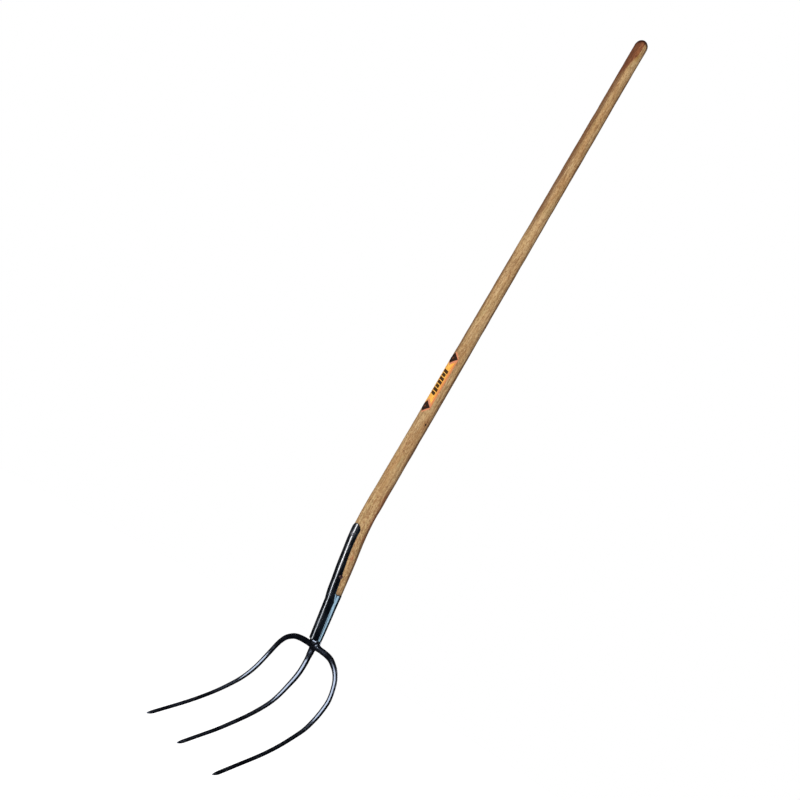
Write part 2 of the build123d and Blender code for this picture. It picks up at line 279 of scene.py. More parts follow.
def turned(profile, origin, direction, side, sides=48, seed=0, wobble=0.0):
    """A turned solid from (radius, height) pairs that start and end on the axis."""
    direction = np.asarray(direction, float) / np.linalg.norm(direction)
    side = np.asarray(side, float) - direction * np.dot(side, direction)
    side /= np.linalg.norm(side)
    other = np.cross(direction, side)
    phi = np.arange(sides) * 2 * math.pi / sides
    r = np.array([p[0] for p in profile])[1:-1, None] + 0 * phi
    h = np.array([p[1] for p in profile])[1:-1, None] + 0 * phi
    if wobble:
        r = r * (1 + wobble * waves(seed, np.cos(phi) * 2 + 0 * h, np.sin(phi) * 2 + 0 * h, h * 0.4))
        h = h + wobble * 0.5 * waves(seed + 1, r * np.cos(phi), r * np.sin(phi), scale=0.7)
    rings = origin + h[..., None] * direction + r[..., None] * (np.cos(phi)[:, None] * side + np.sin(phi)[:, None] * other)
    verts, faces = skin(rings, False, False)
    n = len(profile) - 2
    verts = np.vstack([verts, origin + profile[0][1] * direction, origin + profile[-1][1] * direction])
    a, b, o = len(verts) - 2, len(verts) - 1, (n - 1) * sides
    faces += [(a, (j + 1) % sides, j) for j in range(sides)]
    faces += [(b, o + j, o + (j + 1) % sides) for j in range(sides)]
    return verts, faces


# ============================================================== node helpers
def new_material(name):
    m = bpy.data.materials.new(name)
    m.use_nodes = True
    m.node_tree.nodes.clear()
    return m, m.node_tree


def put(nt, kind, inputs=None, **props):
    """Adds a node, sets its properties, and fills inputs with values or links."""
    node = nt.nodes.new(kind)
    for key, value in props.items():
        setattr(node, key, value)
    for key, value in (inputs or {}).items():
        socket = node.inputs[key]
        if isinstance(value, bpy.types.NodeSocket):
            nt.links.new(value, socket)
        else:
            socket.default_value = value
    return node


def calc(nt, op, *args, clamp=False):
    return put(nt, "ShaderNodeMath", dict(enumerate(args)), operation=op, use_clamp=clamp).outputs[0]


def vec(nt, op, *args):
    node = put(nt, "ShaderNodeVectorMath", dict(enumerate(args)), operation=op)
    return node.outputs["Value"] if op in ("LENGTH", "DISTANCE", "DOT_PRODUCT") else node.outputs["Vector"]


def ramp(nt, value, lo, hi, a=0.0, b=1.0):
    """Smooth step from a at lo to b at hi."""
    return put(nt, "ShaderNodeMapRange", {0: value, 1: lo, 2: hi, 3: a, 4: b}, interpolation_type="SMOOTHSTEP").outputs[0]


def noise(nt, coords, scale, detail=2.0, rough=0.5, distortion=0.0):
    node = put(nt, "ShaderNodeTexNoise", {"Vector": coords, "Scale": scale, "Detail": detail, "Roughness": rough,
                                          "Distortion": distortion})
    return node.outputs[0]


def mix(nt, factor, a, b, blend="MIX"):
    node = put(nt, "ShaderNodeMix", data_type="RGBA", blend_type=blend)
    for index, value in ((0, factor), (6, a), (7, b)):
        if isinstance(value, bpy.types.NodeSocket):
            nt.links.new(value, node.inputs[index])
        else:
            node.inputs[index].default_value = value
    return node.outputs[2]


def rgb(r, g, b):
    """Linear colour from display values 0 to 255."""
    out = []
    for c in (r, g, b):
        c = c / 255.0
        out.append(c / 12.92 if c <= 0.04045 else ((c + 0.055) / 1.055) ** 2.4)
    return (*out, 1.0)


def surface(nt, **inputs):
    bsdf = put(nt, "ShaderNodeBsdfPrincipled", {k.replace("_", " "): v for k, v in inputs.items()})
    put(nt, "ShaderNodeOutputMaterial", {"Surface": bsdf.outputs[0]})
    return bsdf


def split(nt, vector):
    return put(nt, "ShaderNodeSeparateXYZ", {0: vector}).outputs


def join(nt, x, y, z):
    return put(nt, "ShaderNodeCombineXYZ", {0: x, 1: y, 2: z}).outputs[0]


def attribute(nt, name):
    return put(nt, "ShaderNodeAttribute", attribute_name=name, attribute_type="GEOMETRY").outputs["Vector"]


def millimetres(nt):
    """Object coordinates in millimetres."""
    return vec(nt, "MULTIPLY", put(nt, "ShaderNodeTexCoord").outputs["Object"], (1000.0, 1000.0, 1000.0))


# ============================================================== materials
def ash_wood():
    """Pale ash: growth rings about an off-centre pith, open pores, soft mottling, two pin knots, a stained top."""
    m, nt = new_material("ash_wood")
    g = attribute(nt, "grain")                    # x, y across the handle, z down it, millimetres
    wander = noise(nt, vec(nt, "MULTIPLY", g, (0.03, 0.03, 0.0045)), 1.0, 3.0, 0.55)
    wander2 = noise(nt, vec(nt, "ADD", vec(nt, "MULTIPLY", g, (0.03, 0.03, 0.0045)), (7.3, 2.1, 4.4)), 1.0, 3.0, 0.55)
    gx, gy, gz = split(nt, g)[0], split(nt, g)[1], split(nt, g)[2]
    px = calc(nt, "ADD", gx, calc(nt, "MULTIPLY", calc(nt, "SUBTRACT", wander, 0.5), 9.0))
    py = calc(nt, "ADD", gy, calc(nt, "MULTIPLY", calc(nt, "SUBTRACT", wander2, 0.5), 9.0))
    pith = vec(nt, "LENGTH", vec(nt, "SUBTRACT", join(nt, px, py, 0.0), (-38.0, 46.0, 0.0)))
    rings = calc(nt, "FRACT", calc(nt, "ADD", calc(nt, "DIVIDE", pith, 2.9), calc(nt, "MULTIPLY", gz, 0.0042)))
    early = calc(nt, "SUBTRACT", 1.0, ramp(nt, rings, 0.0, 0.62))          # porous band fades into late wood
    streak = noise(nt, vec(nt, "MULTIPLY", g, (0.42, 0.42, 0.019)), 1.0, 4.0, 0.62)
    fibre = noise(nt, vec(nt, "MULTIPLY", g, (1.5, 1.5, 0.035)), 1.0, 3.0, 0.6)
    pores = noise(nt, vec(nt, "MULTIPLY", g, (2.6, 2.6, 0.11)), 1.0, 2.0, 0.5)
    pores = calc(nt, "MULTIPLY", ramp(nt, pores, 0.54, 0.7), ramp(nt, early, 0.15, 0.85))
    mottle = noise(nt, vec(nt, "MULTIPLY", g, (0.05, 0.05, 0.011)), 1.0, 3.0, 0.6)
    hue = noise(nt, vec(nt, "ADD", vec(nt, "MULTIPLY", g, (0.09, 0.09, 0.016)), (3.1, 9.2, 1.7)), 1.0, 3.0, 0.6)

    base = mix(nt, ramp(nt, mottle, 0.34, 0.66), rgb(194, 152, 104), rgb(210, 174, 128))
    base = mix(nt, calc(nt, "MULTIPLY", ramp(nt, hue, 0.52, 0.72), 0.35), base, rgb(208, 152, 104))
    base = mix(nt, calc(nt, "MULTIPLY", ramp(nt, hue, 0.46, 0.30), 0.5), base, rgb(176, 154, 106))
    base = mix(nt, calc(nt, "MULTIPLY", early, 0.42), base, rgb(158, 110, 66))
    base = mix(nt, calc(nt, "MULTIPLY", ramp(nt, streak, 0.50, 0.70), 0.48), base, rgb(132, 88, 52))
    base = mix(nt, calc(nt, "MULTIPLY", ramp(nt, streak, 0.44, 0.26), 0.5), base, rgb(226, 196, 150))
    fleck = noise(nt, vec(nt, "MULTIPLY", g, (0.62, 0.62, 0.1)), 1.0, 3.0, 0.6)
    base = mix(nt, calc(nt, "MULTIPLY", ramp(nt, fleck, 0.53, 0.68), 0.5), base, rgb(140, 94, 54))
    base = mix(nt, calc(nt, "MULTIPLY", ramp(nt, fleck, 0.42, 0.28), 0.4), base, rgb(228, 200, 152))
    base = mix(nt, calc(nt, "MULTIPLY", ramp(nt, fibre, 0.50, 0.75), 0.35), base, rgb(120, 78, 46))
    base = mix(nt, calc(nt, "MULTIPLY", pores, 0.75), base, rgb(92, 58, 34))
    tick = noise(nt, vec(nt, "MULTIPLY", g, (0.46, 0.46, 0.17)), 1.0, 2.0, 0.55)
    base = mix(nt, calc(nt, "MULTIPLY", ramp(nt, tick, 0.55, 0.68), 0.62), base, rgb(136, 90, 52))
    base = mix(nt, calc(nt, "MULTIPLY", ramp(nt, tick, 0.43, 0.32), 0.45), base, rgb(224, 194, 148))
    tick2 = noise(nt, vec(nt, "ADD", vec(nt, "MULTIPLY", g, (0.62, 0.62, 0.3)), (5.5, 8.1, 2.9)), 1.0, 2.0, 0.55)
    base = mix(nt, calc(nt, "MULTIPLY", ramp(nt, tick2, 0.62, 0.70), 0.75), base, rgb(92, 44, 28))
    # rougher, blotchy wood beside the strap, where hands and muck meet it
    blotch = noise(nt, vec(nt, "ADD", vec(nt, "MULTIPLY", g, (0.3, 0.3, 0.16)), (1.5, 4.2, 7.7)), 1.0, 3.0, 0.6)
    low = ramp(nt, gz, -60.0, 20.0, 0.25, 1.0)
    base = mix(nt, calc(nt, "MULTIPLY", ramp(nt, blotch, 0.50, 0.64), calc(nt, "MULTIPLY", low, 0.7)), base, rgb(156, 106, 60))
    base = mix(nt, calc(nt, "MULTIPLY", ramp(nt, blotch, 0.46, 0.34), calc(nt, "MULTIPLY", low, 0.6)), base, rgb(226, 190, 130))

    def spot(x, y, z, size, long, soft=1.0):
        """1 inside a small spot drawn out along the grain, 0 outside."""
        away = vec(nt, "LENGTH", vec(nt, "MULTIPLY", vec(nt, "SUBTRACT", g, (x, y, z)), (1.0, 1.0, 1.0 / long)))
        ragged = calc(nt, "ADD", away, calc(nt, "MULTIPLY", calc(nt, "SUBTRACT", fibre, 0.5), size * 0.9))
        return ramp(nt, ragged, size * (1 + 0.45 * soft), size * (1 - 0.45 * soft))

    def on_wood(deg, z, r):
        return r * math.cos(math.radians(deg)), r * math.sin(math.radians(deg)), BEND_START_Z - z

    x, y, z = on_wood(-14, -716, 15.3)
    knot = spot(x, y, z, 1.7, 1.5)
    halo = spot(x, y, z, 4.2, 3.2)
    x, y, z = on_wood(-17, -633, 15.0)
    knot2 = spot(x, y, z, 2.2, 1.8)
    base = mix(nt, calc(nt, "MULTIPLY", halo, 0.45), base, rgb(140, 84, 48))
    base = mix(nt, calc(nt, "MULTIPLY", knot, 0.93), base, rgb(34, 20, 13))
    base = mix(nt, calc(nt, "MULTIPLY", knot2, 0.5), base, rgb(112, 96, 52))
    x, y, z = on_wood(-27, 178, 14.1)
    base = mix(nt, calc(nt, "MULTIPLY", spot(x, y, z, 4.0, 3.0), 0.6), base, rgb(158, 116, 44))
    # reddish patches on the right side near the bend
    for deg, zz, size, long in ((16, -880, 6.0, 3.5), (22, -925, 6.5, 3.0), (8, -962, 3.6, 2.0), (-22, -1002, 3.0, 2.0)):
        x, y, z = on_wood(deg, zz, 15.5)
        base = mix(nt, calc(nt, "MULTIPLY", spot(x, y, z, size, long, 1.6), 0.42), base, rgb(190, 96, 58))
    # the top end: red-brown finish soaked in on the front left, dark at the very end
    height = calc(nt, "SUBTRACT", BEND_START_Z, gz)
    leftness = calc(nt, "MULTIPLY", calc(nt, "ADD", gx, gy), -0.7071)      # millimetres towards azimuth -135
    lean = calc(nt, "ADD", height, calc(nt, "MULTIPLY", leftness, 3.9))
    lean = calc(nt, "ADD", lean, calc(nt, "MULTIPLY", calc(nt, "SUBTRACT", streak, 0.5), 46.0))
    stain = ramp(nt, lean, 160.0, 177.0)
    stain = calc(nt, "MULTIPLY", stain, ramp(nt, calc(nt, "ADD", leftness, calc(nt, "MULTIPLY", calc(nt, "SUBTRACT", streak, 0.5), 8.0)), -7.0, -4.0))
    base = mix(nt, calc(nt, "MULTIPLY", stain, 0.9), base, mix(nt, ramp(nt, fleck, 0.35, 0.65), rgb(158, 96, 58), rgb(104, 48, 34)))
    # painted shade: a brown stripe darkens the front left of the upper half, standing in for the shade on that side
    stripe = ramp(nt, calc(nt, "ADD", leftness, calc(nt, "MULTIPLY", calc(nt, "SUBTRACT", streak, 0.5), 14.0)), 1.0, 9.5)
    stripe = calc(nt, "MULTIPLY", stripe, ramp(nt, height, -320.0, -210.0))
    base = mix(nt, calc(nt, "MULTIPLY", stripe, 0.72), base, rgb(106, 64, 44))
    # painted shade: darker streaks along the left edge low on the handle, and broken dark streaks down the right edge,
    # stand in for the shade at the handle's edges
    flank = ramp(nt, calc(nt, "ADD", leftness, calc(nt, "MULTIPLY", calc(nt, "SUBTRACT", streak, 0.5), 7.0)), 9.0, 12.5)
    flank = calc(nt, "MULTIPLY", flank, calc(nt, "MULTIPLY", ramp(nt, height, -660.0, -600.0), ramp(nt, height, -290.0, -340.0)))
    base = mix(nt, calc(nt, "MULTIPLY", flank, 0.6), base, rgb(112, 78, 54))
    # painted shade: broken dark streaks down the right edge
    flank = ramp(nt, calc(nt, "ADD", calc(nt, "MULTIPLY", leftness, -1.0), calc(nt, "MULTIPLY", calc(nt, "SUBTRACT", streak, 0.5), 10.0)), 9.5, 13.5)
    base = mix(nt, calc(nt, "MULTIPLY", flank, 0.7), base, rgb(92, 54, 36))
    end = calc(nt, "ADD", height, calc(nt, "MULTIPLY", calc(nt, "ABSOLUTE", leftness), 0.45))
    end = ramp(nt, calc(nt, "ADD", end, calc(nt, "MULTIPLY", fibre, 5.0)), 214.0, 222.0)
    base = mix(nt, calc(nt, "MULTIPLY", end, 0.92), base, rgb(52, 18, 15))
    # the wood is darker over the last 9 mm above the ferrule rim, broken up by the fibre noise
    t_low = calc(nt, "SUBTRACT", gz, s_of_t(RIM_T))
    rim_darkening = calc(nt, "MULTIPLY", ramp(nt, t_low, -9.0, 0.0), ramp(nt, fibre, 0.3, 0.6, 0.5, 1.0))
    base = mix(nt, calc(nt, "MULTIPLY", rim_darkening, 0.5), base, rgb(74, 46, 28))

    base = mix(nt, 1.0, base, (0.85, 0.87, 0.86, 1.0), "MULTIPLY")

    relief = calc(nt, "SUBTRACT", calc(nt, "MULTIPLY", fibre, 0.35), calc(nt, "MULTIPLY", pores, 0.8))
    relief = calc(nt, "SUBTRACT", relief, calc(nt, "MULTIPLY", early, 0.25))
    bump = put(nt, "ShaderNodeBump", {"Strength": 0.55, "Distance": 0.00025, "Height": relief})
    rough = calc(nt, "ADD", 0.52, calc(nt, "MULTIPLY", pores, 0.3))
    rough = calc(nt, "ADD", rough, calc(nt, "MULTIPLY", calc(nt, "SUBTRACT", streak, 0.5), 0.25))
    surface(nt, Base_Color=base, Roughness=rough, Normal=bump.outputs[0], Specular_IOR_Level=0.3)
    return m


def steel_lacquer(name, tint, pale, metallic=0.55, gloss=0.22, peel=1.0, lipped=False):
    """Blue-black stoving lacquer over forged or pressed steel: orange peel, hammer marks, dulled and scuffed patches."""
    m, nt = new_material(name)
    q = millimetres(nt)
    cloud = noise(nt, q, 0.035, 4.0, 0.6)
    fine = noise(nt, q, 0.6, 3.0, 0.55)
    peel_n = noise(nt, q, 1.1, 2.0, 0.5)
    dents = noise(nt, q, 0.13, 2.0, 0.5)
    scuff = noise(nt, vec(nt, "MULTIPLY", q, (0.5, 0.16, 0.16)), 1.0, 5.0, 0.7)
    scuff = ramp(nt, scuff, 0.60, 0.74)
    base = mix(nt, ramp(nt, cloud, 0.35, 0.68), rgb(*tint), rgb(*pale))
    base = mix(nt, calc(nt, "MULTIPLY", scuff, 0.35), base, rgb(52, 54, 66))
    speck = put(nt, "ShaderNodeTexVoronoi", {"Vector": q, "Scale": 0.45}, feature="F1").outputs["Distance"]
    speck = calc(nt, "MULTIPLY", ramp(nt, speck, 0.16, 0.07), ramp(nt, cloud, 0.5, 0.62))
    base = mix(nt, calc(nt, "MULTIPLY", speck, 0.7), base, rgb(74, 44, 34))
    rough = calc(nt, "ADD", gloss, calc(nt, "MULTIPLY", ramp(nt, cloud, 0.38, 0.66), 0.14))
    rough = calc(nt, "ADD", rough, calc(nt, "MULTIPLY", fine, 0.06))
    rough = calc(nt, "ADD", rough, calc(nt, "MULTIPLY", scuff, 0.22))
    height = calc(nt, "ADD", calc(nt, "MULTIPLY", dents, 1.0 * peel), calc(nt, "MULTIPLY", peel_n, 0.16 * peel))
    height = calc(nt, "SUBTRACT", height, calc(nt, "MULTIPLY", speck, 0.3))
    bump = put(nt, "ShaderNodeBump", {"Strength": 0.5, "Distance": 0.0006, "Height": height})
    coat, shine = 0.75, 0.6
    if lipped:
        # dirt and worn lacquer dull the cut edge of the sheet where it lies on the wood
        lip = put(nt, "ShaderNodeAttribute", attribute_name="lip", attribute_type="GEOMETRY").outputs["Fac"]
        lip = ramp(nt, lip, 0.15, 0.7)
        clean = calc(nt, "SUBTRACT", 1.0, lip)
        rough = calc(nt, "ADD", rough, calc(nt, "MULTIPLY", lip, 0.5))
        coat, shine = calc(nt, "MULTIPLY", clean, coat), calc(nt, "MULTIPLY", clean, shine)
        metallic = calc(nt, "MULTIPLY", clean, metallic)
    surface(nt, Base_Color=base, Metallic=metallic, Roughness=rough, Normal=bump.outputs[0],
            Specular_IOR_Level=shine, Coat_Weight=coat, Coat_Roughness=0.09, Coat_IOR=1.55)
    return m


def bare_steel(name, colour, dark, rust, amount, metallic=0.85):
    """Small fasteners: struck, slightly rusted steel."""
    m, nt = new_material(name)
    q = millimetres(nt)
    cloud = noise(nt, q, 0.55, 4.0, 0.62)
    grit = noise(nt, q, 3.0, 3.0, 0.6)
    spots = ramp(nt, cloud, 0.62 - 0.3 * amount, 0.72 - 0.2 * amount)
    base = mix(nt, ramp(nt, grit, 0.35, 0.65), rgb(*colour), rgb(*dark))
    base = mix(nt, spots, base, mix(nt, grit, rgb(*rust), rgb(*[c * 0.55 for c in rust])))
    rough = calc(nt, "ADD", 0.3, calc(nt, "MULTIPLY", spots, 0.35))
    metal = calc(nt, "MULTIPLY", calc(nt, "SUBTRACT", 1.0, calc(nt, "MULTIPLY", spots, 0.8)), metallic)
    height = calc(nt, "ADD", calc(nt, "MULTIPLY", cloud, 0.7), calc(nt, "MULTIPLY", grit, 0.3))
    bump = put(nt, "ShaderNodeBump", {"Strength": 0.5, "Distance": 0.0004, "Height": height})
    surface(nt, Base_Color=base, Metallic=metal, Roughness=rough, Normal=bump.outputs[0])
    return m


def label_film():
    """A generic printed decal: orange field, dark chevron ends, a row of plain tapering bars, pale border."""
    m, nt = new_material("label_film")
    uv = attribute(nt, "label")                   # x: millimetres to the right of the middle, y: height above the bottom
    u, v = split(nt, uv)[0], split(nt, uv)[1]
    g = join(nt, u, v, 0.0)
    length = LABEL_Z[1] - LABEL_Z[0]
    au = calc(nt, "ABSOLUTE", u)

    def diamond(cu, cv, hu, hv, soft=0.06):
        """1 inside a diamond centred at (cu, cv)."""
        d = calc(nt, "ADD", calc(nt, "DIVIDE", calc(nt, "ABSOLUTE", calc(nt, "SUBTRACT", u, cu)), hu),
                 calc(nt, "DIVIDE", calc(nt, "ABSOLUTE", calc(nt, "SUBTRACT", v, cv)), hv))
        return ramp(nt, d, 1.0 + soft, 1.0 - soft)

    def either(a, b):
        return calc(nt, "MAXIMUM", a, b)

    wear = noise(nt, vec(nt, "MULTIPLY", g, (0.5, 0.35, 1.0)), 1.0, 5.0, 0.7)
    tone = noise(nt, vec(nt, "MULTIPLY", g, (0.12, 0.05, 1.0)), 1.0, 3.0, 0.6)
    field = mix(nt, ramp(nt, tone, 0.35, 0.65), rgb(238, 184, 88), rgb(240, 166, 66))
    # orange stripe down the right edge, paler strip on the left
    side = ramp(nt, u, 7.4, 8.6)
    field = mix(nt, side, field, rgb(208, 130, 80))
    field = mix(nt, ramp(nt, u, -8.2, -9.6), field, rgb(250, 214, 140))
    # salmon border round the dark ends
    rim = either(diamond(0.0, 14.5, 15.0, 16.5), diamond(0.0, length - 14.5, 15.0, 16.5))
    field = mix(nt, rim, field, rgb(208, 132, 96))
    dark = either(diamond(-2.0, 14.5, 12.5, 12.0), diamond(-2.0, length - 14.5, 12.5, 12.0))
    field = mix(nt, calc(nt, "MULTIPLY", dark, 0.97), field, rgb(30, 20, 18))
    # a small pale lozenge in each dark end
    gem = either(diamond(-1.0, 14.5, 2.2, 2.4, 0.2), diamond(-1.0, length - 14.5, 2.2, 2.4, 0.2))
    field = mix(nt, calc(nt, "MULTIPLY", gem, 0.45), field, rgb(150, 80, 44))
    # a row of slanted bars up the middle: a plain pattern with no letters in it
    period = 8.2
    phase = calc(nt, "DIVIDE", calc(nt, "ADD", calc(nt, "ADD", v, calc(nt, "MULTIPLY", u, 0.35)), 1.0), period)
    cell = calc(nt, "FLOOR", phase)
    part = calc(nt, "ABSOLUTE", calc(nt, "SUBTRACT", calc(nt, "FRACT", phase), 0.5))
    reach = calc(nt, "ADD", 5.8, calc(nt, "MULTIPLY", calc(nt, "SINE", calc(nt, "MULTIPLY", cell, 2.4)), 0.9))
    bars = calc(nt, "MULTIPLY", ramp(nt, part, 0.42, 0.37), ramp(nt, calc(nt, "SUBTRACT", au, reach), 0.35, -0.35))
    bars = calc(nt, "MULTIPLY", bars, calc(nt, "MULTIPLY", ramp(nt, cell, 4.4, 4.6), ramp(nt, cell, 11.6, 11.4)))
    field = mix(nt, calc(nt, "MULTIPLY", bars, 0.95), field, rgb(36, 20, 16))
    # two hairlines beside the bars
    line = calc(nt, "MULTIPLY", ramp(nt, calc(nt, "ABSOLUTE", calc(nt, "SUBTRACT", au, 6.6)), 0.5, 0.25),
                calc(nt, "MULTIPLY", ramp(nt, v, 30.0, 33.0), ramp(nt, v, 108.0, 105.0)))
    field = mix(nt, calc(nt, "MULTIPLY", line, 0.75), field, rgb(196, 74, 34))
    # rubbed patches show pale film
    field = mix(nt, calc(nt, "MULTIPLY", ramp(nt, wear, 0.62, 0.74), 0.5), field, rgb(232, 196, 150))
    rough = calc(nt, "ADD", 0.5, calc(nt, "MULTIPLY", wear, 0.25))
    bump = put(nt, "ShaderNodeBump", {"Strength": 0.25, "Distance": 0.0002, "Height": wear})
    surface(nt, Base_Color=field, Roughness=rough, Normal=bump.outputs[0], Specular_IOR_Level=0.3)
    return m


WOOD = ash_wood()
FORGED = steel_lacquer("lacquered_steel", (3, 4, 9), (10, 12, 22), 0.55, 0.24, 1.0)
PRESSED = steel_lacquer("ferrule_lacquer", (4, 8, 15), (10, 19, 30), 0.5, 0.2, 0.8, True)
NAIL = bare_steel("nail_steel", (50, 14, 14), (22, 7, 8), (78, 18, 14), 0.7, 0.15)
FASTENER = bare_steel("fastener_steel", (96, 98, 104), (50, 50, 54), (104, 60, 38), 0.25)
LABEL = label_film()


# ============================================================== handle
def build_handle():
    sides = 96
    dome = DOME_Z + (TOP_Z - DOME_Z) * np.sin(np.radians([89.0, 87, 84, 80, 75, 69, 62, 54, 45, 36, 27, 18, 9]))
    s = np.r_[BEND_START_Z - dome, np.arange(BEND_START_Z - DOME_Z, s_of_t(118.0), 2.0)]
    s = np.r_[s, np.arange(s_of_t(118.0), s_of_t(RIM_T) - 0.4, 1.0), s_of_t(RIM_T) - 0.25, s_of_t(RIM_T) - 0.06]
    s = np.sort(s)
    # the turned nose, inside the ferrule
    nose_t = np.array([RIM_T + 0.02, 140.0, 150.0, 160.0, 170.0, 180.0, 190.0, 200.0, 207.5, 209.0, 209.5])
    nose_r = cone_radius(nose_t) - SHEET - 0.03
    nose_r[-3:] -= np.array([0.1, 0.8, 2.0])
    phi = np.arange(sides) * 2 * math.pi / sides
    r0 = wood_radius(s)
    p, q = np.meshgrid(phi, s)
    near_top = np.clip((BEND_START_Z - DOME_Z - q) / 8.0, 0, 1)
    near_rim = np.clip((s_of_t(RIM_T - 4) - q) / 30.0, 0, 1)
    strap = np.clip((q - 20.0) / 25.0, 0, 1)                 # keep true under the strap
    calm = 1 - 0.85 * strap
    lab = np.clip(np.minimum((BEND_START_Z - LABEL_Z[0] + 12 - q), q - (BEND_START_Z - LABEL_Z[1] - 12)) / 10.0, 0, 1)
    calm = calm * (1 - 0.9 * lab)
    uneven = 0.13 * waves(11, np.cos(p) * 1.3, np.sin(p) * 1.3, q * 0.018) \
        + 0.22 * waves(12, np.cos(p) * 1.4, np.sin(p) * 1.4, q * 0.07) \
        + 0.03 * waves(13, np.cos(p) * 9.0, np.sin(p) * 9.0, q * 0.012)
    r = r0[:, None] + np.minimum(uneven - 0.16, 0.05) * calm * (r0[:, None] / 15.0)
    r[-2:] -= np.array([[0.1], [0.35]])                        # eased shoulder at the ferrule rim
    rings = around(q, p, r)
    sn = s_of_t(nose_t)
    pn, qn = np.meshgrid(phi, sn)
    rings_n = around(qn, pn, nose_r[:, None] + 0 * pn)
    verts, faces = skin(np.concatenate([rings, rings_n]))
    allr = np.vstack([r, nose_r[:, None] + 0 * pn])
    alls = np.vstack([q, qn])
    allp = np.vstack([p, pn])
    grain = np.stack([allr * np.cos(allp), allr * np.sin(allp), alls], -1).reshape(-1, 3)
    grain = np.vstack([grain, [0, 0, s[0] - 0.1], [0, 0, sn[-1]]])
    piece = make("ash_handle", verts, faces, ["handle"], {"grain": grain})
    piece.data.materials.append(WOOD)
    return piece


# ============================================================== strap ferrule
SAG = STRAP_ROUND - STRAP_TOP
cap_r = (STRAP_W[0][0] ** 2 + SAG ** 2) / (2 * SAG)
mid = STRAP_TOP + cap_r


def strap_edge(t):
    """Half-width of the strap, straight across, at t."""
    t = np.asarray(t, float)
    w = spline([b for _, b in STRAP_W], [a for a, _ in STRAP_W], np.clip(t, STRAP_ROUND, 146), 0.0, 0.0)
    return np.where(t < STRAP_ROUND, np.sqrt(np.clip(cap_r ** 2 - (t - mid) ** 2, 0, None)), w)


